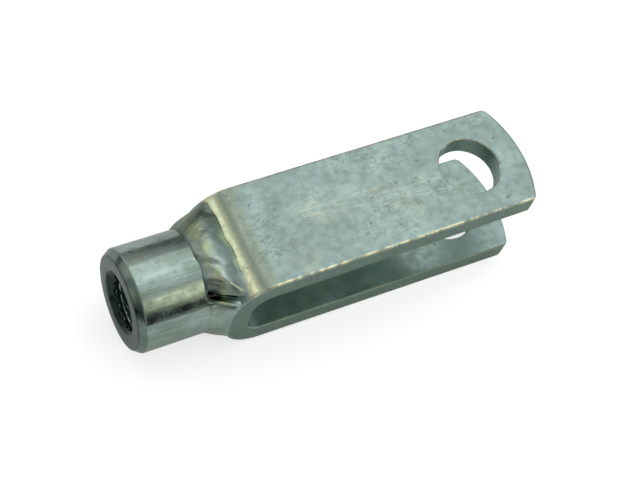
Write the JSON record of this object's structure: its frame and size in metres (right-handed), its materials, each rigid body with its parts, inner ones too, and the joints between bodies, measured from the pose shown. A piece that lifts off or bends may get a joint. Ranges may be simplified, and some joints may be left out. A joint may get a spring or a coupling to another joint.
{
  "type": "clevis rod end",
  "caption": "Welded steel clevis rod end: a folded strip fork with aligned pin holes and a round threaded boss for a rod.",
  "frame": {"origin": "where the pin axis crosses the rod axis, midway between the ears", "axes": "+X along the rod axis from the threaded mouth to the ear tips, +Y across the strip, +Z along the pin"},
  "size_m": [0.0838, 0.022, 0.0228],
  "materials": {
    "zinc_plated_strip": "zinc plated, satin, scuffed",
    "zinc_plated_bar": "zinc plated over a turned surface",
    "zinc_plated_weld": "zinc plated over a weld bead"
  },
  "bodies": {
    "root": {"yoke": "zinc_plated_strip", "threaded_boss": "zinc_plated_bar", "upper_weld": "zinc_plated_weld", "lower_weld": "zinc_plated_weld"}
  },
  "joints": []
}
